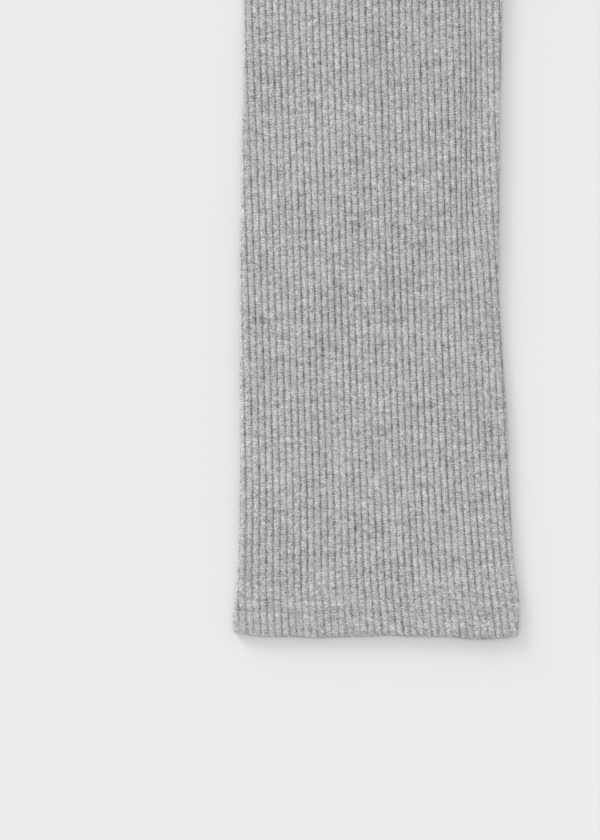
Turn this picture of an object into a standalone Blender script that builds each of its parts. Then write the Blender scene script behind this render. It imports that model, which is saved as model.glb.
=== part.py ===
"""Ribbed leggings, adult size S, laid flat on a surface with the front up.

Each leg is one piece of rib knit. It wraps from the centre-front seam round the
outer fold to the centre-back seam, and below the crotch its two edges meet in
the inseam. There is no side seam. The hem is turned up inside the leg, and a
plain band of the same knit, folded at its top, finishes the waist.

Frame: metres. X runs across, with the wearer's left at +X. Y runs up the body,
with the waist at +Y. Z is up from the surface that the cloth lies on. The
origin lies on that surface, under the middle of the leggings.
"""

import math
from collections import namedtuple

import bmesh
import bpy

COLLECTION = "ribbed_leggings"

# Driving dimensions, in metres.
TOTAL_LENGTH = 0.980
BAND_HEIGHT = 0.040
INSEAM = 0.710
HEM_DEPTH = 0.020
CLOTH = 0.0012
HEM_WALL = 0.0022  # two thicknesses of cloth, pressed by the stitching
BAND_WALL = 0.0022  # the same, where the waistband is folded double
LAYER_GAP = 0.0010  # air between the front layer and the back layer
CROWN = 0.0010  # rise of the front layer towards the middle of a leg
SEAM_GAP = 0.0003  # clearance between two pieces that are sewn together

HEM_Y = -TOTAL_LENGTH / 2
LEG_TOP = TOTAL_LENGTH - BAND_HEIGHT - SEAM_GAP

# One leg's outline when laid flat: the distances of its outer fold and of its
# inseam from the garment's centre line, at heights above the hem's edge.
Section = namedtuple("Section", "height outer inner")
LEG_SECTIONS = [
    Section(height=0.000, outer=0.1662, inner=0.0252),
    Section(height=0.020, outer=0.1650, inner=0.0254),
    Section(height=0.036, outer=0.1640, inner=0.0282),
    Section(height=0.070, outer=0.1632, inner=0.0302),
    Section(height=0.180, outer=0.1625, inner=0.0343),
    Section(height=0.314, outer=0.1605, inner=0.0332),
    Section(height=0.400, outer=0.1610, inner=0.0310),
    Section(height=0.500, outer=0.1650, inner=0.0240),
    Section(height=0.600, outer=0.1730, inner=0.0130),
    Section(height=0.660, outer=0.1795, inner=0.0065),
    Section(height=INSEAM, outer=0.1850, inner=SEAM_GAP / 2),
    Section(height=0.800, outer=0.1896, inner=SEAM_GAP / 2),
    Section(height=0.880, outer=0.1740, inner=SEAM_GAP / 2),
    Section(height=LEG_TOP, outer=0.1500, inner=SEAM_GAP / 2),
]
BAND_HALF_WIDTH = 0.1500
BAND_TOP_HALF_WIDTH = 0.1485

# How finely the rings and the outline are divided.
FOLD_STEPS = 3  # segments in a quarter of a fold
ACROSS_STEPS = 6  # segments across a layer
RING_SPACING = 0.024  # distance between a leg's rings
CROTCH_NOTCH = 0.016  # height over which the inseam opens into two seams
HEM_STEP = 0.006  # height over which the doubled hem thins to one thickness


def smooth_outline(sections, height):
    """Outer and inner distance at a height, on cubic curves through the sections."""
    index = 0
    while index < len(sections) - 2 and height > sections[index + 1].height:
        index += 1
    below = sections[max(index - 1, 0)]
    start = sections[index]
    end = sections[index + 1]
    above = sections[min(index + 2, len(sections) - 1)]
    span = end.height - start.height
    t = (height - start.height) / span
    values = []
    for name in ("outer", "inner"):
        first, last = getattr(start, name), getattr(end, name)
        slope_in = (last - getattr(below, name)) / (end.height - below.height)
        slope_out = (getattr(above, name) - first) / (above.height - start.height)
        values.append(
            (2 * t**3 - 3 * t**2 + 1) * first
            + (t**3 - 2 * t**2 + t) * span * slope_in
            + (3 * t**2 - 2 * t**3) * last
            + (t**3 - t**2) * span * slope_out
        )
    return values


def quarter_fold(tip, centre_height, radius, direction, upper):
    """Points of a quarter circle, from its tip to where the flat layer starts."""
    points = []
    for step in range(FOLD_STEPS + 1):
        angle = math.radians(90) * step / FOLD_STEPS
        x = tip + direction * radius * (1 - math.cos(angle))
        rise = radius * math.sin(angle)
        points.append((x, centre_height + (rise if upper else -rise)))
    return points


def flat_layer(start, end, low, crown):
    """Inner points of a layer between two folds; the front one is crowned."""
    points = []
    for step in range(1, ACROSS_STEPS):
        share = step / ACROSS_STEPS
        x = start + (end - start) * share
        points.append((x, low + crown * math.sin(math.pi * share)))
    return points


def flattened_ring(inner, outer, wall, crown):
    """A tube's section when laid flat, from its inner edge over the front, round
    the outer fold and back under: points of (x, z), with the first one repeated."""
    thickness = 2 * wall + LAYER_GAP
    radius = thickness / 2
    front_inner = quarter_fold(inner, radius, radius, 1, upper=True)
    front_outer = quarter_fold(outer, radius, radius, -1, upper=True)[::-1]
    back_outer = quarter_fold(outer, radius, radius, -1, upper=False)[1:]
    back_inner = quarter_fold(inner, radius, radius, 1, upper=False)[::-1]
    front = flat_layer(inner + radius, outer - radius, thickness, crown)
    back = flat_layer(outer - radius, inner + radius, 0, 0)
    return front_inner + front + front_outer + back_outer + back + back_inner


def opened_section(outer, wall, crown):
    """A leg's section above the crotch: the front layer starts at the centre-front
    seam, and the back layer ends at the centre-back seam."""
    seam = SEAM_GAP / 2
    points = flattened_ring(seam, outer, wall, 0)
    thickness = 2 * wall + LAYER_GAP
    lifted = []
    last = len(points) - 1
    for index, (x, z) in enumerate(points):
        steps_from_edge = min(index, last - index)
        if steps_from_edge <= FOLD_STEPS:
            x = seam + thickness / 2 * steps_from_edge / FOLD_STEPS
            z = thickness if index < last / 2 else 0
        if z >= thickness:
            z += crown * math.cos(math.radians(90) * (x - seam) / (outer - seam))
        lifted.append((x, z))
    return lifted


def heights_with_spacing(stops, spacing):
    """Heights from the first stop to the last, at about the given spacing."""
    heights = [stops[0]]
    for low, high in zip(stops[:-1], stops[1:]):
        steps = max(1, round((high - low) / spacing))
        heights += [low + (high - low) * step / steps for step in range(1, steps + 1)]
    return heights


def leg_rows():
    """The leg's rings, hem first: (height, points of the section, closed, wall)."""
    stops = [0, HEM_DEPTH, HEM_DEPTH + HEM_STEP, 0.05, INSEAM, INSEAM + CROTCH_NOTCH, LEG_TOP]
    rows = []
    for height in heights_with_spacing(stops, RING_SPACING):
        outer, inner = smooth_outline(LEG_SECTIONS, height)
        wall = HEM_WALL if height <= HEM_DEPTH else CLOTH
        closed = height <= INSEAM
        if closed:
            section = flattened_ring(max(inner, SEAM_GAP / 2), outer, wall, CROWN)
        else:
            section = opened_section(outer, wall, CROWN)
        rows.append((height, section, closed, wall))
    return rows


def shell_object(name, rows, side, thickest, collection):
    """A shell of cloth on rings of (x, z) points, thickened inwards. Rings that
    are closed share their first and last point; the rest leave a slit."""
    mesh = bpy.data.meshes.new(name)
    piece = bpy.data.objects.new(name, mesh)
    collection.objects.link(piece)
    build = bmesh.new()
    weight_layer = build.verts.layers.deform.verify()
    rings = []
    for height, section, closed, wall in rows:
        points = section[:-1] if closed else section
        ring = []
        for x, z in points:
            vertex = build.verts.new((side * x, HEM_Y + height, z))
            vertex[weight_layer][0] = wall / thickest
            ring.append(vertex)
        if closed:
            ring.append(ring[0])
        rings.append(ring)
    for lower, upper in zip(rings[:-1], rings[1:]):
        for index in range(len(lower) - 1):
            corners = [lower[index], lower[index + 1], upper[index + 1], upper[index]]
            corners = list(dict.fromkeys(corners))
            build.faces.new(corners if side > 0 else corners[::-1])
    build.to_mesh(mesh)
    build.free()
    piece.vertex_groups.new(name="wall")
    solidify = piece.modifiers.new("cloth", "SOLIDIFY")
    solidify.thickness = thickest
    solidify.offset = -1
    solidify.use_quality_normals = True
    solidify.vertex_group = "wall"
    return piece


def make_leg(name, side, collection):
    """One leg, with its doubled hem; side is -1 for the wearer's right."""
    return shell_object(name, leg_rows(), side, HEM_WALL, collection)


def make_waistband(collection):
    """The folded band: one flattened tube of doubled cloth across both legs."""
    low = TOTAL_LENGTH - BAND_HEIGHT
    rows = []
    for height in heights_with_spacing([low, TOTAL_LENGTH], RING_SPACING):
        share = (height - low) / BAND_HEIGHT
        half = BAND_HALF_WIDTH + (BAND_TOP_HALF_WIDTH - BAND_HALF_WIDTH) * share
        section = flattened_ring(-half, half, BAND_WALL, CROWN)
        rows.append((height, section, True, BAND_WALL))
    return shell_object("waistband", rows, 1, BAND_WALL, collection)


def rib_knit(name):
    """A cloth material: matt, pale grey."""
    material = bpy.data.materials.new(name)
    material.use_nodes = True
    shader = material.node_tree.nodes["Principled BSDF"]
    shader.inputs["Base Color"].default_value = (0.40, 0.40, 0.40, 1)
    shader.inputs["Roughness"].default_value = 0.95
    shader.inputs["Metallic"].default_value = 0
    return material


def main():
    for item in list(bpy.data.objects):
        bpy.data.objects.remove(item)
    collection = bpy.data.collections.new(COLLECTION)
    bpy.context.scene.collection.children.link(collection)
    pieces = [
        make_leg("leg_right", -1, collection),
        make_leg("leg_left", 1, collection),
        make_waistband(collection),
    ]
    for piece in pieces:
        piece.data.materials.append(rib_knit(piece.name + "_knit"))
        for face in piece.data.polygons:
            face.use_smooth = True


main()
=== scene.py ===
"""The looks of a pair of ribbed leggings that lie flat, front up.

Each leg is a closed shell of grey marl rib knit with real ribs, a turned-up hem and
a twin-needle coverstitch. Every column of the shell's grid keeps to one rib, from the
hem to the waist, and ribs end at the inseam and the centre seams as cut cloth does.
Lengths are in metres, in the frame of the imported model.
"""

import math
from collections import namedtuple

import bmesh
import bpy
import numpy as np
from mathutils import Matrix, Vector


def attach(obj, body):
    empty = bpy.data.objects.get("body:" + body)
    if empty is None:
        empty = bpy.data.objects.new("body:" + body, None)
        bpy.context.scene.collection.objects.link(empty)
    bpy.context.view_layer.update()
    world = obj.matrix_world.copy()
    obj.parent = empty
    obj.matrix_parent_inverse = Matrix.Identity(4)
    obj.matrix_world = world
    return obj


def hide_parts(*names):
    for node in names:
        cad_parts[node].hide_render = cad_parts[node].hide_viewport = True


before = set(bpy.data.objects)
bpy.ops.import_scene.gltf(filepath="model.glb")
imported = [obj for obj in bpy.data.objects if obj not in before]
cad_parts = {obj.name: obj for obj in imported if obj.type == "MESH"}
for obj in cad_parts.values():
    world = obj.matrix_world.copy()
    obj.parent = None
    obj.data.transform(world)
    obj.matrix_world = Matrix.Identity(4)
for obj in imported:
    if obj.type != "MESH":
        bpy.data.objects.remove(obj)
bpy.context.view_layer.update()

MM = 0.001

# ---------------------------------------------------------------------- sizes

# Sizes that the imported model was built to.
TOTAL_LENGTH = 0.980
BAND_HEIGHT = 0.040
INSEAM = 0.710
SEAM_GAP = 0.3 * MM
HEM_DEPTH = 20 * MM
CLOTH = 1.2 * MM
DOUBLE_CLOTH = 2.2 * MM
LAYER_GAP = 1.0 * MM
CROWN = 1.0 * MM
HEM_Y = -TOTAL_LENGTH / 2
LEG_TOP = TOTAL_LENGTH - BAND_HEIGHT - SEAM_GAP
BAND_HALF_WIDTH = 0.1500
BAND_TOP_HALF_WIDTH = 0.1485

# A leg laid flat: where its outer fold and its inseam lie from the centre line.
Section = namedtuple("Section", "height outer inner")
LEG_SECTIONS = [
    Section(height=0.000, outer=0.1662, inner=0.0252),
    Section(height=0.020, outer=0.1650, inner=0.0254),
    Section(height=0.036, outer=0.1640, inner=0.0282),
    Section(height=0.070, outer=0.1632, inner=0.0302),
    Section(height=0.180, outer=0.1625, inner=0.0343),
    Section(height=0.314, outer=0.1605, inner=0.0332),
    Section(height=0.400, outer=0.1610, inner=0.0310),
    Section(height=0.500, outer=0.1650, inner=0.0240),
    Section(height=0.600, outer=0.1730, inner=0.0130),
    Section(height=0.660, outer=0.1795, inner=0.0065),
    Section(height=INSEAM, outer=0.1850, inner=SEAM_GAP / 2),
    Section(height=0.800, outer=0.1896, inner=SEAM_GAP / 2),
    Section(height=0.880, outer=0.1740, inner=SEAM_GAP / 2),
    Section(height=LEG_TOP, outer=0.1500, inner=SEAM_GAP / 2),
]

# Sizes of the scene's own shells.
PRESSED_HEM = 1.5 * MM  # a leg's doubled hem, pressed a little thinner than its solid
FRONT_RECESS = 0.5 * MM  # how far the front's hem lies behind the back's
FOLD_REACH = 2.4 * MM  # length of the rounded run-out at a folded edge
FOLD_ANGLES = (22, 45, 67, 90, 120, 150, 180)  # degrees round the fold, of its rows
HEM_RADIUS = PRESSED_HEM + 0.15 * MM  # of the cloth's turn along a leg's edges
INSEAM_RADIUS = 1.6 * MM
INSEAM_BULK = 0.3 * MM  # what the seam's bulk adds to that along most of the leg
OUTER_RADIUS = 2.4 * MM
OUTER_PRESS = 0.8 * MM  # how much smaller that is where the outer fold is pressed
EDGE_FADE = 9 * MM  # distance from a leg's edges over which its creases fade
LEAST_LEVEL = 0.05 * MM  # no point lies lower than this above the surface

# Bumps along a line: where each is, how far it reaches to either side, and its rise.
Bump = namedtuple("Bump", "at reach rise")

# Where a leg's edges stand out past its sections' smooth curves, by height.
OUTER_BULGES = [Bump(at=8 * MM, reach=6 * MM, rise=1.0 * MM)]
INSEAM_BULGES = [
    Bump(at=44 * MM, reach=24 * MM, rise=1.1 * MM),
    Bump(at=105 * MM, reach=30 * MM, rise=1.3 * MM),
    Bump(at=175 * MM, reach=25 * MM, rise=-0.6 * MM),
]
CALF_BULGE = 0.6 * MM  # the same for the outer fold, over a long stretch

# How far the hem's edge lies above its nominal line, by distance from the centre line.
HEM_WAVES = [
    Bump(at=166 * MM, reach=8 * MM, rise=1.9 * MM),
    Bump(at=124 * MM, reach=9 * MM, rise=-0.6 * MM),
    Bump(at=89 * MM, reach=8 * MM, rise=0.6 * MM),
    Bump(at=44 * MM, reach=11 * MM, rise=-1.5 * MM),
    Bump(at=25 * MM, reach=2 * MM, rise=0.6 * MM),
]

# Uneven swelling of a front layer: its rise, and the sizes of its features.
Swell = namedtuple("Swell", "rise across along shift")
LEG_SWELL = Swell(rise=0.35 * MM, across=38 * MM, along=90 * MM, shift=7)
LEG_RIPPLE = Swell(rise=0.10 * MM, across=9 * MM, along=30 * MM, shift=0)
WAIST_GATHER = Swell(rise=0.35 * MM, across=6 * MM, along=60 * MM, shift=0)
BAND_SWELL = Swell(rise=0.25 * MM, across=17 * MM, along=50 * MM, shift=0)
BAND_RIPPLE = Swell(rise=0.10 * MM, across=6 * MM, along=20 * MM, shift=0)

# The lie of the ribs: how far rib 0 is from the centre line, and the ribs' spacing.
RibLine = namedtuple("RibLine", "height middle pitch")
RIB_LINES = [
    RibLine(height=0.000, middle=0.0858, pitch=3.51 * MM),
    RibLine(height=0.028, middle=0.0882, pitch=3.44 * MM),
    RibLine(height=0.060, middle=0.0897, pitch=3.34 * MM),
    RibLine(height=0.110, middle=0.0917, pitch=3.28 * MM),
    RibLine(height=0.170, middle=0.0936, pitch=3.26 * MM),
    RibLine(height=0.314, middle=0.0979, pitch=3.29 * MM),
    RibLine(height=0.450, middle=0.1010, pitch=3.30 * MM),
    RibLine(height=INSEAM, middle=0.0990, pitch=3.30 * MM),
    RibLine(height=0.800, middle=0.0960, pitch=3.30 * MM),
    RibLine(height=0.880, middle=0.0880, pitch=3.03 * MM),
    RibLine(height=LEG_TOP, middle=0.0760, pitch=2.62 * MM),
]
RIB_PITCH = 3.3 * MM
BAND_PITCH = 2.62 * MM
RIB_WOBBLE = 0.035  # how far a rib strays from its line, in ribs

# Numbers of a shell's ribs, counted down from its inner edge over the front: the
# most, the first that is always underneath, and the least.
RibCount = namedtuple("RibCount", "most underneath least")
LEG_RIBS = RibCount(most=31, underneath=-31, least=-88)
BAND_RIBS = RibCount(most=62, underneath=-62, least=-178)

# Along a line on the calf's front, a little out from the inseam, the ribs crowd.
CROWDING = 0.30  # share by which they lie closer together there
CROWDED_X = 54.5 * MM
CROWDED_X_SHIFT = 6 * MM  # how much nearer to the inseam the line is higher up
CROWDED_REACH = 4.5 * MM

# The rib's relief, over one rib from the middle of one groove to the next.
RIB_DEPTH = 0.80 * MM
GROOVE_WIDTH = 0.36 * MM
GROOVE_SHARPNESS = 2.6
GROOVE_TAIL = 0.012  # taken off so that a rib's crest is left almost level
RIB_PHASES = (0.0, 0.10, 0.21, 0.5, 0.79, 0.90)
BACK_PHASES = (0.0, 0.18, 0.5, 0.82)

# How much of a groove's depth the doubled hem and the leg's two edges take away,
# and how unevenly deep the grooves are, on the leg and in addition on its hem. The
# grooves' painted shade grows and shrinks with their depth.
HEM_SOFTENING = 0.18
EDGE_SOFTENING = 0.13
UNEVENNESS = 0.22
HEM_UNEVENNESS = 0.20

# What the sewing does to the relief.
NEEDLE_TROUGH = 0.15 * MM
NEEDLE_REACH = 1.0 * MM
NEEDLE_SOFTENING = 0.35  # share of a groove's depth that the needle rows take away
SEAM_TROUGH = 0.7 * MM
SEAM_REACH = 0.8 * MM
SEAM_SOFTENING = 0.5
BAND_TROUGH = 1.2 * MM
BAND_SOFTENING = 0.4

# The hem's coverstitch.
NEEDLE_ROWS = (12.6 * MM, 19.0 * MM)
HEM_PUFFS = [
    Bump(at=sum(NEEDLE_ROWS) / 2, reach=2.2 * MM, rise=0.24 * MM),
    Bump(at=7 * MM, reach=4 * MM, rise=0.15 * MM),
]
STITCH_PITCH = 2.5 * MM
STITCH_LENGTH = 2.1 * MM
STITCH_MARGIN = 1.6 * MM  # from the inseam to the first stitch, and after the last
STITCH_LEAN = 0.18 * MM  # how much higher a stitch ends than it starts
THREAD_RADIUS = 0.16 * MM
# Shares of a stitch's length, and how full its thread is at each.
THREAD_STEPS = np.array([0, 0.12, 0.3, 0.5, 0.7, 0.88, 1.0])
THREAD_FULLNESS = np.array([0.05, 0.75, 1, 1, 1, 0.75, 0.05])

# Soft troughs in the front layer (a ridge where the depth is negative). Each runs
# through the point (x, height) at an angle from the X axis, in degrees.
Crease = namedtuple("Crease", "x height angle length width depth")
FRONT_CREASES = [
    Crease(x=0.030, height=0.742, angle=38, length=0.046, width=0.0060, depth=0.85 * MM),
    Crease(x=0.045, height=0.714, angle=17, length=0.036, width=0.0050, depth=0.65 * MM),
    Crease(x=0.028, height=0.688, angle=-33, length=0.040, width=0.0070, depth=0.80 * MM),
    Crease(x=0.049, height=0.660, angle=-49, length=0.055, width=0.0080, depth=0.60 * MM),
    Crease(x=0.036, height=0.776, angle=54, length=0.034, width=0.0055, depth=0.60 * MM),
    Crease(x=0.124, height=0.838, angle=-24, length=0.042, width=0.0085, depth=0.50 * MM),
    Crease(x=0.140, height=0.796, angle=-12, length=0.031, width=0.0070, depth=0.40 * MM),
    Crease(x=0.118, height=0.466, angle=14, length=0.048, width=0.0100, depth=0.45 * MM),
    Crease(x=0.072, height=0.431, angle=-9, length=0.033, width=0.0085, depth=0.35 * MM),
    Crease(x=0.095, height=0.560, angle=62, length=0.070, width=0.0120, depth=-0.45 * MM),
    Crease(x=0.060, height=0.880, angle=71, length=0.038, width=0.0075, depth=0.45 * MM),
    Crease(x=0.048, height=0.242, angle=94, length=0.048, width=0.0085, depth=1.10 * MM),
    Crease(x=0.074, height=0.153, angle=16, length=0.024, width=0.0075, depth=0.80 * MM),
    Crease(x=0.057, height=0.140, angle=78, length=0.019, width=0.0070, depth=-0.60 * MM),
    Crease(x=0.062, height=0.097, angle=68, length=0.024, width=0.0075, depth=-0.75 * MM),
    Crease(x=0.090, height=0.115, angle=-14, length=0.021, width=0.0085, depth=-0.80 * MM),
    Crease(x=0.147, height=0.240, angle=-33, length=0.020, width=0.0080, depth=0.95 * MM),
    Crease(x=0.147, height=0.126, angle=-21, length=0.022, width=0.0105, depth=1.00 * MM),
    Crease(x=0.104, height=0.284, angle=101, length=0.029, width=0.0080, depth=-0.70 * MM),
]
# The back lies on the surface, so its troughs are less deep than the cloth is thick.
BACK_CREASES = [
    Crease(x=0.034, height=0.725, angle=41, length=0.050, width=0.0070, depth=0.26 * MM),
    Crease(x=0.056, height=0.684, angle=-28, length=0.042, width=0.0060, depth=0.22 * MM),
    Crease(x=0.028, height=0.788, angle=58, length=0.036, width=0.0065, depth=0.24 * MM),
    Crease(x=0.121, height=0.812, angle=-19, length=0.044, width=0.0090, depth=0.20 * MM),
    Crease(x=0.088, height=0.470, angle=7, length=0.057, width=0.0100, depth=0.23 * MM),
    Crease(x=0.110, height=0.240, angle=-13, length=0.038, width=0.0090, depth=0.25 * MM),
]


# ---------------------------------------------------------------- small maths


def smooth_step(low, high, value):
    """0 below low, 1 above high, and a smooth rise between."""
    t = np.clip((value - low) / (high - low), 0, 1)
    return t * t * (3 - 2 * t)


def plateau(value, rise, fall):
    """0 before the rise, 1 from there to the fall, and 0 after it. The rise and the
    fall are each given as the two values between which they happen."""
    return smooth_step(*rise, value) * (1 - smooth_step(*fall, value))


def bell(value, centre, reach):
    """A bump of height 1 at the centre, about twice the reach across."""
    return np.exp(-(((value - centre) / reach) ** 2))


def bumps(value, table):
    """All the bumps of a table together."""
    return sum(bump.rise * bell(value, bump.at, bump.reach) for bump in table)


def curve(heights, knots, name):
    """A named column of a table of knots, on smooth curves, at each height."""
    at = np.array([knot.height for knot in knots])
    values = np.array([getattr(knot, name) for knot in knots])
    slopes = np.gradient(values, at)
    index = np.clip(np.searchsorted(at, heights) - 1, 0, len(at) - 2)
    span = at[index + 1] - at[index]
    t = np.clip((heights - at[index]) / span, 0, 1)
    return (
        (2 * t**3 - 3 * t**2 + 1) * values[index]
        + (t**3 - 2 * t**2 + t) * span * slopes[index]
        + (3 * t**2 - 2 * t**3) * values[index + 1]
        + (t**3 - t**2) * span * slopes[index + 1]
    )


def at_height(height, knots, name):
    """The same at one height, as a plain number."""
    return float(curve(np.array([height]), knots, name)[0])


def soft_noise(x, y, seed):
    """Smooth noise between -1 and 1, with features about 1 unit apart."""
    size = 64
    table = np.random.default_rng(seed).uniform(-1, 1, (size, size))
    column, row = np.floor(x).astype(int), np.floor(y).astype(int)
    u, v = x - column, y - row
    u, v = u * u * (3 - 2 * u), v * v * (3 - 2 * v)
    left, right = column % size, (column + 1) % size
    below, above = row % size, (row + 1) % size
    low = table[below, left] * (1 - u) + table[below, right] * u
    high = table[above, left] * (1 - u) + table[above, right] * u
    return low * (1 - v) + high * v


def swelling(swell, x, height, seed):
    """How far an uneven swelling rises at each x, at one height."""
    along = np.full_like(x, height / swell.along)
    return swell.rise * soft_noise(x / swell.across + swell.shift, along, seed)


def creasing(x, height, creases):
    """Depth at each x, at one height, of all the soft creases together."""
    total = np.zeros_like(x)
    for crease in creases:
        turn = math.radians(crease.angle)
        across, up = x - crease.x, height - crease.height
        along = (across * math.cos(turn) + up * math.sin(turn)) / crease.length
        aside = (up * math.cos(turn) - across * math.sin(turn)) / crease.width
        total += crease.depth * np.exp(-(along**2) - aside**2)
    return total


# ------------------------------------------------------- the cloth's own shape


def tube_section(inner, outer, inner_radius, outer_radius, opening, front_rise):
    """A tube laid flat, cut across: x, z and outward normals of points on it, from
    its inner edge over the front, round the outer fold and back underneath.
    Opening is 0 where the inner edge is closed and 1 where it is cut open."""
    quarter = np.radians(np.linspace(0, 90, 13))
    edge_rise = inner_radius * (opening + (1 - opening) * np.sin(quarter))
    low, high = inner + inner_radius, outer - outer_radius
    front_x = np.linspace(low, high, 400)[1:-1]
    back_x = np.linspace(high, low, 60)[1:-1]
    front_z = 2 * np.interp(front_x, (low, high), (inner_radius, outer_radius))
    fold = np.radians(np.linspace(90, -90, 33))
    inner_x = inner + inner_radius * (1 - np.cos(quarter))
    fold_x = high + outer_radius * np.cos(fold)
    fold_z = outer_radius * (1 + np.sin(fold))
    front_edge_z = inner_radius + edge_rise
    back_edge_z = (inner_radius - edge_rise)[::-1]
    x = np.concatenate([inner_x, front_x, fold_x, back_x, inner_x[::-1]])
    z = np.concatenate([front_edge_z, front_z, fold_z, np.zeros(len(back_x)), back_edge_z])
    on_front = np.arange(len(x)) < len(quarter) + len(front_x) + len(fold) // 2
    z = z + np.where(on_front, front_rise(x), 0)
    dx, dz = np.gradient(x), np.gradient(z)
    length = np.hypot(dx, dz)
    return x, z, -dz / length, dx / length


def edge_radius(height, single):
    """Radius of the cloth's turn along a leg's edge: from the doubled hem's to a
    single cloth's."""
    return HEM_RADIUS + (single - HEM_RADIUS) * smooth_step(18 * MM, 65 * MM, height)


def leg_front(height, inner, outer, seed):
    """How far the front layer rises over a flat one, as a function of x. It is
    crowned over each leg, and above the crotch over both legs together."""
    closed = 1 - smooth_step(INSEAM - 60 * MM, INSEAM + 20 * MM, height)
    fullness = 0.25 + 0.75 * smooth_step(5 * MM, 70 * MM, height)
    gathered = smooth_step(885 * MM, LEG_TOP, height)

    def rise(x):
        share = np.clip((x - inner) / (outer - inner), 0, 1)
        one_leg = np.sin(math.pi * share) ** 0.8
        both_legs = np.cos(math.pi / 2 * share)
        crown = CROWN * (one_leg * closed + both_legs * (1 - closed)) * fullness
        at_inseam = closed * (1 - smooth_step(0, EDGE_FADE, x - inner))
        fade = smooth_step(0, EDGE_FADE, outer - x) * (1 - at_inseam)
        swell = swelling(LEG_SWELL, x, height, seed)
        ripple = swelling(LEG_RIPPLE, x, height, seed + 1)
        gather = swelling(WAIST_GATHER, x, height, seed + 3) * gathered
        troughs = creasing(x, height, FRONT_CREASES)
        return crown + fade * (swell + ripple + gather - troughs)

    return rise


def leg_spacing(height, x, on_front):
    """The ribs' spacing as a share of the usual: 1, or less where they crowd."""
    line_x = CROWDED_X - CROWDED_X_SHIFT * smooth_step(180 * MM, 300 * MM, height)
    crowding = CROWDING * plateau(height, (115 * MM, 250 * MM), (330 * MM, 450 * MM))
    return np.where(on_front, 1 - crowding * bell(x, line_x, CROWDED_REACH), 1.0)


def groove(rib):
    """Depth of the relief, about 1 in the middle of a groove and 0 on a rib's crest."""
    distance = np.abs(rib - np.round(rib)) * RIB_PITCH / GROOVE_WIDTH
    return 1 / (1 + distance**GROOVE_SHARPNESS) - GROOVE_TAIL


def leg_grooves(rib, height, along, length, seed):
    """How deep the grooves are, 1 on most of a leg, less on its hem and along its
    outer fold and inseam. Along is the distance round the leg from the inseam."""
    on_hem = 1 - smooth_step(20 * MM, 34 * MM, height)
    at_fold = bell(along, length / 2, 9 * MM)
    at_inseam = bell(np.minimum(along, length - along), 0, 9 * MM)
    softened = HEM_SOFTENING * on_hem + EDGE_SOFTENING * (at_fold + at_inseam)
    uneven = soft_noise(rib * 0.9, height / (14 * MM), seed + 2)
    return (1 - softened) * (1 + (UNEVENNESS + HEM_UNEVENNESS * on_hem) * uneven)


def leg_relief(strength, rib, height, along, length):
    """How far the knit lies below the smooth outer face of the leg."""
    needle = sum(bell(height, row, NEEDLE_REACH) for row in NEEDLE_ROWS)
    ribs = RIB_DEPTH * strength * groove(rib) * (1 - NEEDLE_SOFTENING * needle)
    at_waist = bell(height, LEG_TOP, 1.5 * MM)
    off_crotch = smooth_step(26 * MM, 60 * MM, abs(height - INSEAM))
    at_inseam = bell(np.minimum(along, length - along), 0, SEAM_REACH) * off_crotch
    sewn = np.maximum(at_inseam, at_waist)
    ribs = ribs * (1 - SEAM_SOFTENING * sewn)
    return ribs + NEEDLE_TROUGH * needle - bumps(height, HEM_PUFFS) + SEAM_TROUGH * sewn


def band_relief(strength, rib, height):
    """The same for the waistband, where height is the distance below its top."""
    sewn = bell(height, BAND_HEIGHT, 2.0 * MM)
    ribs = RIB_DEPTH * strength * groove(rib) * (1 - BAND_SOFTENING * sewn)
    return ribs + BAND_TROUGH * sewn


# ------------------------------------------------------------- grid to a mesh


# Where a shell lies on its colour map when it is exported: lengthwise strips of
# the outer face side by side, and a thin one for the inner face. Marks are
# millimetres along the cloth, above 0 outside and below 0 inside, and shares are
# of the way round it.
Chart = namedtuple("Chart", "marks shares left right low high")
LEG_CHARTS = [
    Chart(marks=(-2.9, 470), shares=(0, 1), left=0.006, right=0.482, low=0.006, high=0.994),
    Chart(marks=(470, 940), shares=(0, 1), left=0.494, right=0.970, low=0.006, high=0.990),
    Chart(marks=(-2.9, -940), shares=(0, 1), left=0.980, right=0.996, low=0.006, high=0.994),
]
BAND_CHARTS = [
    Chart(marks=(-2.9, 40), shares=(0, 1 / 3), left=0.010, right=0.985, low=0.010, high=0.305),
    Chart(marks=(-2.9, 40), shares=(1 / 3, 2 / 3), left=0.010, right=0.985, low=0.330, high=0.625),
    Chart(marks=(-2.9, 40), shares=(2 / 3, 1), left=0.010, right=0.985, low=0.650, high=0.945),
    Chart(marks=(-2.9, -40), shares=(0, 1), left=0.010, right=0.985, low=0.965, high=0.995),
]
FRONT_SHARE = 0.53  # of the way round, up to the end of the outer fold
FRONT_ROOM = 0.62  # share of a chart's width that this gets
INNER_MARK = -5  # marks below this are surely inside, past the fold
CUT_EDGE_OFFSET = 1.5  # how far a cut edge is laid past the outer face's marks
CUT_EDGE_SHARE = 0.005  # and past its shares
MARK_MARGIN = 2  # how far a face may reach past the marks of its chart
SHARE_MARGIN = 0.01  # and past the shares


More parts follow.
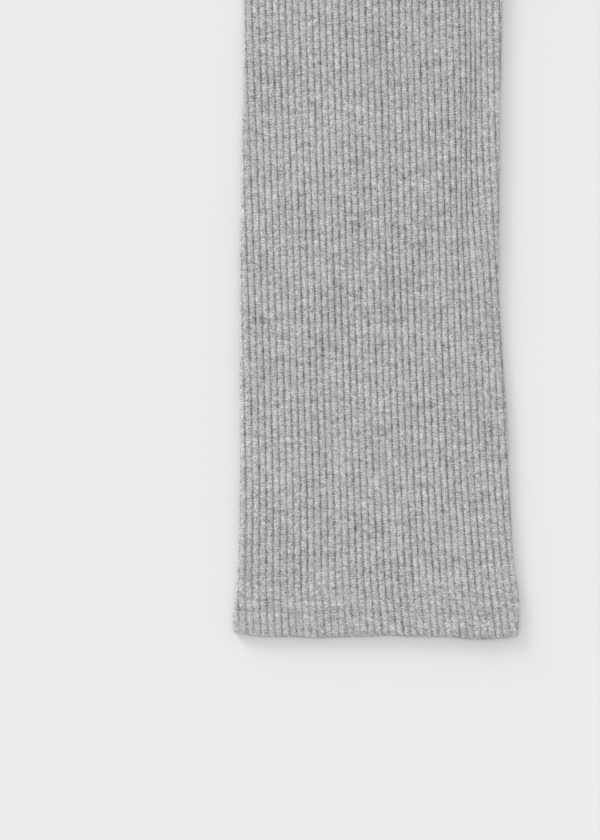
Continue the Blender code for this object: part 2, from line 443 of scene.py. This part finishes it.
def lay_on_charts(marks, shares, sizes, charts):
    """Places of the faces' corners on the colour map, each face on one chart. The
    marks and shares are of each corner, and the sizes are the faces' corner counts."""
    first = np.cumsum(sizes) - sizes
    shares = np.interp(shares, [0, FRONT_SHARE, 1], [0, FRONT_ROOM, 1])
    reaches_outside = np.repeat(np.maximum.reduceat(marks, first) > 0, sizes)
    across_edge = reaches_outside & (marks < INNER_MARK)  # joins both faces at a cut
    marks = np.where(across_edge, CUT_EDGE_OFFSET - marks, marks)
    shares = shares + np.where(across_edge, CUT_EDGE_SHARE * np.sign(shares - 0.5), 0)
    mark = np.repeat(np.add.reduceat(marks, first) / sizes, sizes)
    share = np.repeat(np.add.reduceat(shares, first) / sizes, sizes)
    places = np.full((len(marks), 2), 0.5)
    for chart in charts:
        on = (mark >= min(chart.marks)) & (mark < max(chart.marks) + MARK_MARGIN)
        on = on & (share >= chart.shares[0] - SHARE_MARGIN)
        on = on & (share < chart.shares[1] + SHARE_MARGIN)
        across = (shares[on] - chart.shares[0]) / (chart.shares[1] - chart.shares[0])
        up = (marks[on] - chart.marks[0]) / (chart.marks[1] - chart.marks[0])
        places[on, 0] = chart.left + (chart.right - chart.left) * across
        places[on, 1] = chart.low + (chart.high - chart.low) * up
    return places


class RibGrid:
    """Rows of points round a shell. All the columns of a row that lie beyond the
    cloth's edge share one point, so ribs run off at the seams."""

    def __init__(self):
        self.points = []
        self.coords = []
        self.strengths = []
        self.faces = []
        self.corners = []
        self.count = 0

    def add_row(self, points, ribs, marks, strength, past_first, past_last, closed):
        """Adds a row of points, some of them past the cloth's first or last edge.
        Returns the index of each column's point for the faces, where those share
        one, and its own index for the maps."""
        start = self.count
        own = np.arange(start, start + len(points))
        first_edge = start + int(past_first.sum()) - 1
        last_edge = start + len(points) - int(past_last.sum())
        merged = own.copy()
        merged[past_first] = first_edge
        merged[past_last] = first_edge if closed else last_edge
        self.points.append(points)
        shares = (ribs[0] - ribs) / (ribs[0] - ribs[-1])
        self.coords.append(np.stack([ribs, marks, shares], axis=1))
        self.strengths.append(strength)
        self.count += len(points)
        return merged, own

    def add_face(self, merged, own):
        """Adds a face with its doubled corners taken out."""
        keep = [k for k in range(len(merged)) if merged[k] != merged[k - 1]]
        if len(keep) > 2:
            self.faces.append([merged[k] for k in keep])
            self.corners.extend(own[k] for k in keep)

    def join(self, lower, upper, places):
        """Faces between two rows. Where one has fewer columns, places gives the
        other's column at each of them."""
        (low, low_own), (high, high_own) = lower, upper
        if len(low) == len(high):
            merged = np.stack([low[:-1], low[1:], high[1:], high[:-1]], axis=1)
            own = np.stack([low_own[:-1], low_own[1:], high_own[1:], high_own[:-1]], axis=1)
            whole = (merged != np.roll(merged, 1, axis=1)).all(axis=1)
            self.faces.extend(merged[whole].tolist())
            self.corners.extend(own[whole].ravel().tolist())
            for k in np.flatnonzero(~whole):
                self.add_face(merged[k].tolist(), own[k].tolist())
            return
        flip = len(low) < len(high)
        fine, coarse = (upper, lower) if flip else (lower, upper)
        for k in range(len(places) - 1):
            middle = (places[k] + places[k + 1]) // 2
            for i in range(places[k], places[k + 1]):
                near = k if i < middle else k + 1
                self.fan(fine, coarse, [i, i + 1], [near], flip)
            self.fan(fine, coarse, [middle], [k + 1, k], flip)

    def fan(self, fine, coarse, fine_at, coarse_at, flip):
        """Adds a triangle between a finely and a coarsely divided row."""
        merged = [fine[0][i] for i in fine_at] + [coarse[0][i] for i in coarse_at]
        own = [fine[1][i] for i in fine_at] + [coarse[1][i] for i in coarse_at]
        if flip:
            merged, own = merged[::-1], own[::-1]
        self.add_face(merged, own)

    def to_object(self, name, side, charts):
        """The mesh as a smooth object; side -1 mirrors it to the wearer's right."""
        points = np.concatenate(self.points)
        coords = np.concatenate(self.coords)
        used = np.unique(np.concatenate([np.asarray(face) for face in self.faces]))
        place = np.full(len(points), -1)
        place[used] = np.arange(len(used))
        faces = [[int(place[i]) for i in face] for face in self.faces]
        corners = np.array(self.corners)
        points = points[used] * [side, 1, 1]
        mesh = bpy.data.meshes.new(name)
        mesh.from_pydata(points.tolist(), [], faces)
        cloth_map = mesh.uv_layers.new(name="cloth")
        cloth_map.data.foreach_set("uv", coords[corners, :2].astype(np.float32).ravel())
        sizes = np.array([len(face) for face in faces])
        places = lay_on_charts(coords[corners, 1], coords[corners, 2], sizes, charts)
        colour_map = mesh.uv_layers.new(name="OFBake")
        colour_map.data.foreach_set("uv", places.astype(np.float32).ravel())
        strengths = np.concatenate(self.strengths)[used].astype(np.float32)
        # The grooves' depth at each point; the material scales the grooves' painted shade by it
        # too.
        attribute = mesh.attributes.new("groove_strength", "FLOAT", "POINT")
        attribute.data.foreach_set("value", strengths)
        return finished_object(name, mesh)


def finished_object(name, mesh):
    """Links a closed mesh as a smooth object whose faces point outwards."""
    shape = bmesh.new()
    shape.from_mesh(mesh)
    inside_out = shape.calc_volume(signed=True) < 0
    shape.free()
    if inside_out:
        mesh.flip_normals()
    mesh.polygons.foreach_set("use_smooth", np.ones(len(mesh.polygons), bool))
    mesh.update()
    piece = bpy.data.objects.new(name, mesh)
    bpy.context.scene.collection.objects.link(piece)
    return piece


# ----------------------------------------------------------- shells and thread


class LegShape:
    """The smooth outer face of a leg at a height, and where each rib runs on it."""

    # Heights of the grid's rows: close together at the hem, the crotch and the waist.
    heights = np.concatenate(
        [
            np.arange(2.6 * MM, 24 * MM, 1.0 * MM),
            np.arange(24 * MM, 60 * MM, 2.4 * MM),
            np.arange(60 * MM, 330 * MM, 6 * MM),
            np.arange(330 * MM, INSEAM - 92 * MM, 14 * MM),
            np.arange(INSEAM - 88 * MM, INSEAM - 6 * MM, 6 * MM),
            np.linspace(INSEAM - 2 * MM, INSEAM, 2),
            np.linspace(INSEAM + 4 * MM, INSEAM + 28 * MM, 6),
            np.arange(INSEAM + 34 * MM, LEG_TOP - 6 * MM, 8 * MM),
            LEG_TOP - np.array([4.5, 3.0, 1.8, 0.8, 0]) * MM,
        ]
    )
    ribs = LEG_RIBS
    charts = LEG_CHARTS

    def __init__(self, seed, first_rib=0):
        self.seed = seed
        self.first_rib = first_rib  # gives each leg its own mottling

    def closed(self, height):
        return height <= INSEAM

    def wall(self, height):
        """Thickness of the cloth, doubled up to the raw edge of the turned-up hem."""
        return PRESSED_HEM if height < HEM_DEPTH + 1 * MM else CLOTH

    def y(self, x, height, share):
        """y of points at shares of the way round: the front's hem lies a little back."""
        wave = bumps(x, HEM_WAVES) * (1 - smooth_step(0, 70 * MM, height))
        on_front = plateau(share, (0, 0.03), (0.47, 0.53))
        recess = FRONT_RECESS * on_front * (1 - smooth_step(0, 10 * MM, height))
        return HEM_Y + height + wave + recess

    def grooves(self, rib, height, along, length):
        return leg_grooves(rib, height, along, length, self.seed)

    def relief(self, rib, height, x, along, length):
        """How far the knit lies below the smooth outer face, the back's creases too."""
        on_back = smooth_step(0.45, 0.55, along / length)
        strength = self.grooves(rib, height, along, length)
        troughs = creasing(x, height, BACK_CREASES) * on_back
        return leg_relief(strength, rib, height, along, length) + troughs

    def section(self, height):
        """x, z and outward normals of the points round the leg."""
        outer = at_height(height, LEG_SECTIONS, "outer")
        inner = max(at_height(height, LEG_SECTIONS, "inner"), SEAM_GAP / 2)
        outer += CALF_BULGE * plateau(height, (80 * MM, 140 * MM), (340 * MM, 440 * MM))
        outer += bumps(height, OUTER_BULGES)
        inner -= bumps(height, INSEAM_BULGES)
        bulk = INSEAM_BULK * plateau(height, (150 * MM, 190 * MM), (650 * MM, INSEAM))
        press = OUTER_PRESS * smooth_step(120 * MM, 300 * MM, height)
        inner_radius = edge_radius(height, INSEAM_RADIUS + bulk)
        outer_radius = edge_radius(height, OUTER_RADIUS - press)
        opening = float(smooth_step(INSEAM, INSEAM + 30 * MM, height))
        front = leg_front(height, inner, outer, self.seed)
        return tube_section(inner, outer, inner_radius, outer_radius, opening, front)

    def rib_lie(self, height, x, on_front):
        """x of rib 0 on the front, and the ribs' spacing at each point."""
        spacing = at_height(height, RIB_LINES, "pitch") * leg_spacing(height, x, on_front)
        return at_height(height, RIB_LINES, "middle"), spacing

    def ring(self, height):
        """The section, its length up to each point, and the rib number there."""
        x, z, nx, nz = self.section(height)
        along = np.concatenate([[0], np.cumsum(np.hypot(np.diff(x), np.diff(z)))])
        on_front = along < along[-1] / 2
        middle, spacing = self.rib_lie(height, x, on_front)
        steps = np.diff(along) * 2 / (spacing[1:] + spacing[:-1])
        passed = np.concatenate([[0], np.cumsum(steps)])
        passed_at_middle = np.interp(middle, x[on_front], passed[on_front])
        return x, z, nx, nz, along, passed_at_middle - passed

    def row(self, height, depth, columns, relief=1.0):
        """The points at a height, at a depth below the outer face, on each column
        (a rib number), and which columns run off the cloth's first or last edge."""
        height = max(height, 0)
        x, z, nx, nz, along, rib = self.ring(height)
        wobble = soft_noise(columns * 0.21, np.full_like(columns, height / 0.03), self.seed + 5)
        wanted = columns + RIB_WOBBLE * wobble
        at = np.interp(-wanted, -rib, along)
        past_first, past_last = wanted >= rib[0], wanted <= rib[-1]
        numbers = np.clip(columns, rib[-1], rib[0])
        px, pz = np.interp(at, along, x), np.interp(at, along, z)
        ux, uz = np.interp(at, along, nx), np.interp(at, along, nz)
        down = depth + relief * self.relief(numbers, height, px, at, along[-1])
        level = np.maximum(pz - uz * down, LEAST_LEVEL)
        y = np.broadcast_to(self.y(px, height, at / along[-1]), px.shape)
        strength = self.grooves(numbers, height, at, along[-1])
        points = np.stack([px - ux * down, y, level], axis=1)
        return points, numbers, strength, past_first, past_last


class BandShape(LegShape):
    """The waistband, a folded tube. Its heights run down from its top edge."""

    heights = np.concatenate(
        [
            np.arange(2.6, 4, 0.9) * MM,
            np.linspace(5 * MM, BAND_HEIGHT - 5 * MM, 9),
            BAND_HEIGHT - np.array([3.4, 2.2, 1.2, 0.5, 0.0]) * MM,
        ]
    )
    ribs = BAND_RIBS
    charts = BAND_CHARTS

    def closed(self, height):
        return True

    def wall(self, height):
        return DOUBLE_CLOTH

    def y(self, x, height, share):
        return HEM_Y + TOTAL_LENGTH - height

    def grooves(self, rib, height, along, length):
        return 0.75 + 0.15 * soft_noise(rib * 0.9, height / (11 * MM), self.seed + 2)

    def relief(self, rib, height, x, along, length):
        return band_relief(self.grooves(rib, height, along, length), rib, height)

    def section(self, height):
        down = height / BAND_HEIGHT
        half = BAND_TOP_HALF_WIDTH + (BAND_HALF_WIDTH - BAND_TOP_HALF_WIDTH) * down
        radius = DOUBLE_CLOTH + LAYER_GAP / 2
        held = 1 - bell(height, BAND_HEIGHT, 6 * MM)  # the seam holds it down

        def rise(x):
            swell = swelling(BAND_SWELL, x, height, self.seed)
            ripple = swelling(BAND_RIPPLE, x, height, self.seed + 1)
            fullness = (CROWN + swell + ripple) * held
            return np.cos(math.pi / 2 * np.clip(x / half, -1, 1)) * fullness

        return tube_section(-half, half, radius, radius, 0.0, rise)

    def rib_lie(self, height, x, on_front):
        return 0.0, np.full_like(x, BAND_PITCH)


def rib_columns(ribs):
    """Rib numbers of the grid's columns, from the most to the least."""
    front = np.arange(ribs.most, ribs.underneath, -1.0)
    back = np.arange(ribs.underneath, ribs.least, -1.0)
    columns = [whole - np.array(RIB_PHASES) for whole in front]
    columns += [whole - np.array(BACK_PHASES) for whole in back]
    return np.append(np.concatenate(columns), ribs.least)


def make_shell(name, shape, side=1):
    """A tube of cloth, turned in at its end: outer face, fold and plain inner face."""
    grid = RibGrid()
    columns = rib_columns(shape.ribs)
    places = np.flatnonzero(columns == np.round(columns))
    coarse = columns[places]

    def add(height, depth, which, relief, mark):
        points, numbers, strength, past_first, past_last = shape.row(height, depth, which, relief)
        ribs = numbers + shape.first_rib
        marks = np.full(len(numbers), mark / MM)
        closed = shape.closed(height)
        return grid.add_row(points, ribs, marks, strength, past_first, past_last, closed)

    outside = [add(h, 0, columns, 1.0, h) for h in shape.heights]
    half_fold = shape.wall(0) / 2
    fold = []
    for angle in np.radians(FOLD_ANGLES):
        height = FOLD_REACH * (1 - math.sin(angle))
        depth = half_fold * (1 - math.cos(angle))
        fade = 1 - smooth_step(math.pi / 2, math.pi, angle)
        # The marks run on past 0 where the fold turns to the inner face.
        mark = height - depth if angle < math.pi / 2 else -half_fold - 0.8 * height
        fold.append(add(height, depth, columns, fade, mark))
    inside = [add(h, shape.wall(h), coarse, 0.0, -h) for h in shape.heights[1:]]
    rows = inside[::-1] + fold[::-1] + outside
    for lower, upper in zip(rows[:-1], rows[1:]):
        grid.join(lower, upper, places)
    grid.join(outside[-1], inside[-1], places)
    close_slit(grid, shape, outside, inside)
    return grid.to_object(name, side, shape.charts)


def close_slit(grid, shape, outside, inside):
    """Joins the outer face to the inner one along the edges of an open section."""
    for k in range(1, len(shape.heights) - 1):
        if shape.closed(shape.heights[k + 1]):
            continue
        corners = (outside[k], outside[k + 1], inside[k], inside[k - 1])
        for end, flip in ((0, False), (-1, True)):
            merged = [int(row[0][end]) for row in corners]
            own = [int(row[1][end]) for row in corners]
            if flip:
                merged, own = merged[::-1], own[::-1]
            grid.add_face(merged, own)


def make_stitches(name, shape, side):
    """The hem's two rows of needle stitches, each a short bowed thread that dips
    into the knit at both ends."""
    points, faces = [], []
    around = np.radians(np.arange(0, 360, 72))
    draw = np.random.default_rng(shape.seed + 40)
    for height in NEEDLE_ROWS:
        x, z, nx, nz, along, rib = shape.ring(height)
        last_start = along[-1] - STITCH_MARGIN - STITCH_LENGTH
        for start in np.arange(STITCH_MARGIN, last_start, STITCH_PITCH):
            at = start + STITCH_LENGTH * THREAD_STEPS + draw.uniform(-0.15, 0.15) * MM
            px, pz = np.interp(at, along, x), np.interp(at, along, z)
            ux, uz = np.interp(at, along, nx), np.interp(at, along, nz)
            relief = shape.relief(np.interp(at, along, rib), height, px, at, along[-1])
            mean = relief.mean()
            bowed = 0.10 * MM - 0.32 * MM * (2 * THREAD_STEPS - 1) ** 4
            lift = bowed - np.where(relief > mean, 0.4, 0.7) * relief - 0.3 * mean
            straight = shape.y(px, height, at / along[-1])
            y = straight + draw.uniform(-0.12, 0.12) * MM + STITCH_LEAN * THREAD_STEPS
            centres = np.stack([px, y, pz], axis=1)
            add_thread(points, faces, centres, ux, uz, lift, around)
    mesh = bpy.data.meshes.new(name)
    mesh.from_pydata([(side * x, y, z) for x, y, z in points], [], faces)
    return finished_object(name, mesh)


def add_thread(points, faces, centres, ux, uz, lift, around):
    """Adds one stitch's closed tube, raised along the outward normals (ux, uz)."""
    base, count = len(points), len(around)
    for (x, y, z), out_x, out_z, raised, full in zip(centres, ux, uz, lift, THREAD_FULLNESS):
        for turn in around:
            out = raised + THREAD_RADIUS * full * math.cos(turn)
            shift = THREAD_RADIUS * full * math.sin(turn)
            points.append((x + out_x * out, y + shift, max(z + out_z * out, LEAST_LEVEL)))
    last = base + (len(centres) - 1) * count
    for ring in range(base, last, count):
        for i in range(count):
            a, b = ring + i, ring + (i + 1) % count
            faces.append((a, b, b + count, a + count))
    faces.append(tuple(range(base + count - 1, base - 1, -1)))
    faces.append(tuple(range(last, last + count)))


# ------------------------------------------------------------------ materials

# The knit's colour and its unevenness. Sizes are in millimetres of cloth.
CLOTH_GREY = 0.467
COURSE_PITCH = 1.374
COURSE_SHIFT = 0.2025  # courses that the stitches climb from one rib to the next
Mottle = namedtuple("Mottle", "across along amount")
MOTTLING = [
    Mottle(across=10.0, along=7.0, amount=0.065),
    Mottle(across=8.0, along=2.8, amount=0.16),
    Mottle(across=3.6, along=1.5, amount=0.18),
    Mottle(across=1.0, along=0.9, amount=0.29),
    Mottle(across=0.55, along=0.60, amount=0.66),
]

# Painted shade in the grooves, darker than the ribs, in broken ladders.
GROOVE_SHADE = 0.20  # how much, on average
GROOVE_SHADE_PATCHES = Mottle(across=2.4, along=3.4, amount=0.38)
GROOVE_SHADE_COURSES = 0.15  # how much more and less from course to course
# The painted shade reaches further on one side of a groove, as a shadow cast across it by a low
# light from the other side would.
FAR_SIDE = 0.50  # the darkness reaches twice as far on one side of a groove
SHADE_FROM, SHADE_TO = 0.02, 0.25  # where it fades, as distances in ribs

# Painted shade in the needle holes: how dark, and where it fades from the needle row.
HOLE_SHADE = 0.6
HOLE_FROM, HOLE_TO = 0.1, 0.8

# The nap: heights of the two finest mottles and of the courses in the grooves.
NAP_COARSE = 0.6
NAP_FINE = 0.5
NAP_COURSES = 0.15
NAP_DEPTH = 0.20 * MM

# The thread's grey: the least, and how much the dye adds.
THREAD_GREY = 0.29
THREAD_UNEVENNESS = 0.30


class Shading:
    """Short calls for a material's nodes. Inputs are sockets or plain numbers."""

    def __init__(self, name):
        self.material = bpy.data.materials.new(name)
        self.material.use_nodes = True
        self.tree = self.material.node_tree
        self.shader = self.tree.nodes["Principled BSDF"]

    def node(self, kind, inputs=(), **settings):
        made = self.tree.nodes.new(kind)
        for name, value in settings.items():
            setattr(made, name, value)
        for key, value in dict(inputs).items():
            self.put(made.inputs[key], value)
        return made

    def put(self, socket, value):
        if isinstance(value, bpy.types.NodeSocket):
            self.tree.links.new(value, socket)
        else:
            socket.default_value = value

    def math(self, operation, *values):
        made = self.tree.nodes.new("ShaderNodeMath")
        made.operation = operation
        for socket, value in zip(made.inputs, values):
            self.put(socket, value)
        return made.outputs[0]

    def fall(self, value, low, high):
        """1 below low, 0 above high, and a smooth fall between."""
        inputs = {"Value": value, "From Min": low, "From Max": high, "To Min": 1.0, "To Max": 0.0}
        made = self.node("ShaderNodeMapRange", inputs, interpolation_type="SMOOTHSTEP")
        return made.outputs["Result"]

    def darkened(self, tone, share):
        return self.math("MULTIPLY", tone, self.math("SUBTRACT", 1.0, share))

    def paint(self, tone):
        """Makes a grey tone the material's colour."""
        color = self.node("ShaderNodeCombineColor", {0: tone, 1: tone, 2: tone})
        self.put(self.shader.inputs["Base Color"], color.outputs[0])


def knit_coordinates(shade):
    """Sockets of the rib number and of the height along the cloth, in millimetres."""
    uv = shade.node("ShaderNodeUVMap", uv_map="cloth").outputs["UV"]
    parts = shade.node("ShaderNodeSeparateXYZ", {"Vector": uv})
    return parts.outputs["X"], parts.outputs["Y"]


def mottled(shade, rib, along, mottle):
    """One scale of the marl's unevenness, between -1 and 1."""
    across = shade.math("MULTIPLY", rib, RIB_PITCH / MM / mottle.across)
    lengthways = shade.math("MULTIPLY", along, 1 / mottle.along)
    apart = mottle.along * 7.3  # keeps the scales from repeating one another
    place = shade.node("ShaderNodeCombineXYZ", {"X": across, "Y": lengthways, "Z": apart})
    inputs = {"Vector": place.outputs[0], "Scale": 1.0, "Detail": 0.0}
    noise = shade.node("ShaderNodeTexNoise", inputs)
    return shade.math("MULTIPLY_ADD", noise.outputs["Fac"], 2.0, -1.0)


def course_wave(shade, rib, along):
    """A wave that runs through the knit's courses, between -1 and 1."""
    climb = shade.math("MULTIPLY", rib, -COURSE_SHIFT)
    turns = shade.math("MULTIPLY_ADD", along, 1 / COURSE_PITCH, climb)
    return shade.math("COSINE", shade.math("MULTIPLY", turns, 2 * math.pi))


def groove_shade_mask(shade, rib):
    """Mask of the grooves' painted shade: 1 in a groove as deep as usual, and 0 on the ribs."""
    offset = shade.math("SUBTRACT", rib, shade.math("ROUND", rib))
    near_side = shade.math("MULTIPLY", offset, -1.0)
    distance = shade.math("MAXIMUM", near_side, shade.math("MULTIPLY", offset, FAR_SIDE))
    strength = shade.node("ShaderNodeAttribute", attribute_name="groove_strength")
    return shade.math("MULTIPLY", shade.fall(distance, SHADE_FROM, SHADE_TO), strength.outputs["Fac"])


def grey_marl_knit(name, grey, needle_rows=()):
    """Brushed grey marl rib knit: mottled yarn, soft nap, painted shade in broken
    ladders along the grooves, and painted shade in the small holes along its rows of stitching."""
    shade = Shading(name)
    rib, along = knit_coordinates(shade)
    spots = [mottled(shade, rib, along, mottle) for mottle in MOTTLING]
    coarse_nap, fine_nap = spots[-2:]
    course = course_wave(shade, rib, along)
    shade_in_groove = groove_shade_mask(shade, rib)

    tone = 1.0
    for spot, mottle in zip(spots, MOTTLING):
        tone = shade.math("MULTIPLY_ADD", spot, mottle.amount, tone)
    # Painted shade in the grooves: patchy, and stronger and weaker from course to course.
    patches = mottled(shade, rib, along, GROOVE_SHADE_PATCHES)
    patchy_shade = shade.math("MULTIPLY_ADD", patches, GROOVE_SHADE_PATCHES.amount, GROOVE_SHADE)
    laddered_shade = shade.math("MULTIPLY_ADD", course, GROOVE_SHADE_COURSES, patchy_shade)
    dark = shade.math("MULTIPLY", shade_in_groove, shade.math("MAXIMUM", laddered_shade, 0.0))
    tone = shade.darkened(tone, dark)
    # Painted shade in the needle holes along each row of stitching, patchy along the row.
    for row in needle_rows:
        away = shade.math("ABSOLUTE", shade.math("SUBTRACT", along, row / MM))
        pierced_shade = shade.math("MAXIMUM", shade.math("MULTIPLY", coarse_nap, HOLE_SHADE), 0.0)
        holes = shade.math("MULTIPLY", shade.fall(away, HOLE_FROM, HOLE_TO), pierced_shade)
        tone = shade.darkened(tone, holes)
    shade.paint(shade.math("MULTIPLY", tone, grey))

    fine = shade.math("MULTIPLY", fine_nap, NAP_FINE)
    height = shade.math("ADD", shade.math("MULTIPLY", coarse_nap, NAP_COARSE), fine)
    # The nap's ladders follow the same mask as the grooves' painted shade.
    ladders = shade.math("MULTIPLY", course, shade_in_groove)
    height = shade.math("MULTIPLY_ADD", ladders, NAP_COURSES, height)
    inputs = {"Height": height, "Distance": NAP_DEPTH, "Strength": 1.0}
    bump = shade.node("ShaderNodeBump", inputs)
    shade.put(shade.shader.inputs["Normal"], bump.outputs["Normal"])
    shade.shader.inputs["Roughness"].default_value = 0.95
    shade.shader.inputs["Specular IOR Level"].default_value = 0.15
    shade.shader.inputs["Sheen Weight"].default_value = 0.15
    shade.shader.inputs["Sheen Roughness"].default_value = 0.6
    return shade.material


def sewing_thread(name):
    """Matt grey thread, a little unevenly dyed."""
    shade = Shading(name)
    place = shade.node("ShaderNodeTexCoord").outputs["Object"]
    noise = shade.node("ShaderNodeTexNoise", {"Vector": place, "Scale": 900.0, "Detail": 1.0})
    shade.paint(shade.math("MULTIPLY_ADD", noise.outputs["Fac"], THREAD_UNEVENNESS, THREAD_GREY))
    shade.shader.inputs["Roughness"].default_value = 0.8
    return shade.material


# ---------------------------------------------------------------------- scene

FLOOR_WHITE = 0.815
HORIZON_GLOW = 1.355  # brightness of the studio at the horizon
ZENITH_GLOW = 0.64  # and straight above
KEY_POWER = 2.1
KEY_SPREAD = 20  # degrees
KEY_DIRECTION = (0.58, -0.78, -0.23)  # in which its light travels
VIEW_HEIGHT = 413.5 * MM  # what the picture shows from its lower edge to its upper
VIEW_CENTRE = (-133.4 * MM, HEM_Y + 107.1 * MM)
VIEW_LEVEL = 4 * MM  # level above the surface at which the view is this high
LENS, SENSOR = 120, 36  # millimetres


def make_floor():
    bpy.ops.mesh.primitive_plane_add(size=8, location=(0, 0, 0))
    floor = bpy.context.object
    floor.name = "floor"
    material = bpy.data.materials.new("floor_paper")
    material.use_nodes = True
    shader = material.node_tree.nodes["Principled BSDF"]
    shader.inputs["Base Color"].default_value = (FLOOR_WHITE, FLOOR_WHITE, FLOOR_WHITE, 1)
    shader.inputs["Roughness"].default_value = 1.0
    shader.inputs["Specular IOR Level"].default_value = 0.0
    floor.data.materials.append(material)


def make_light():
    """A soft studio, brightest at the horizon, and a low, soft key light from the
    upper left."""
    world = bpy.data.worlds.new("studio")
    world.use_nodes = True
    nodes, links = world.node_tree.nodes, world.node_tree.links
    direction = nodes.new("ShaderNodeTexCoord")
    split = nodes.new("ShaderNodeSeparateXYZ")
    brightness = nodes.new("ShaderNodeMapRange")
    brightness.inputs["To Min"].default_value = HORIZON_GLOW
    brightness.inputs["To Max"].default_value = ZENITH_GLOW
    links.new(direction.outputs["Generated"], split.inputs["Vector"])
    links.new(split.outputs["Z"], brightness.inputs["Value"])
    links.new(brightness.outputs["Result"], nodes["Background"].inputs["Strength"])
    nodes["Background"].inputs["Color"].default_value = (1, 1, 1, 1)
    bpy.context.scene.world = world
    lamp = bpy.data.lights.new("soft_key", "SUN")
    lamp.energy = KEY_POWER
    lamp.angle = math.radians(KEY_SPREAD)
    key = bpy.data.objects.new("soft_key", lamp)
    key.rotation_euler = Vector(KEY_DIRECTION).to_track_quat("-Z", "Y").to_euler()
    bpy.context.scene.collection.objects.link(key)
    bpy.context.scene.view_settings.view_transform = "Standard"


def make_camera():
    """Straight down on the lower part of the wearer's right leg."""
    data = bpy.data.cameras.new("camera")
    data.lens, data.sensor_width = LENS, SENSOR
    data.clip_start, data.clip_end = 0.05, 50
    camera = bpy.data.objects.new("camera", data)
    camera.location = (*VIEW_CENTRE, VIEW_HEIGHT * LENS / SENSOR + VIEW_LEVEL)
    bpy.context.scene.collection.objects.link(camera)
    bpy.context.scene.camera = camera


def leg_panel():
    """Width, length and area of one leg's cloth, opened flat, as far as it shows."""
    heights = np.linspace(0, LEG_TOP, 400)
    flat = curve(heights, LEG_SECTIONS, "outer") - curve(heights, LEG_SECTIONS, "inner")
    return float(2 * flat.max()), LEG_TOP, float(2 * flat.mean()) * LEG_TOP


make_floor()
make_light()
make_camera()
leg_knit = grey_marl_knit("leg_knit", CLOTH_GREY, NEEDLE_ROWS)
band_knit = grey_marl_knit("band_knit", CLOTH_GREY)
thread = sewing_thread("hem_thread")

width, length, area = leg_panel()
for name, side, seed, first_rib in (("leg_right", -1, 11, 0), ("leg_left", 1, 29, 400)):
    shape = LegShape(seed, first_rib)
    leg = make_shell(name + "_cloth", shape, side)
    leg.data.materials.append(leg_knit)
    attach(leg, "root")
    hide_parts(name)
    stitches = make_stitches(name + "_hem_stitches", shape, side)
    stitches.data.materials.append(thread)
    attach(stitches, "root")

band = make_shell("waistband_cloth", BandShape(53))
band.data.materials.append(band_knit)
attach(band, "root")
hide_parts("waistband")
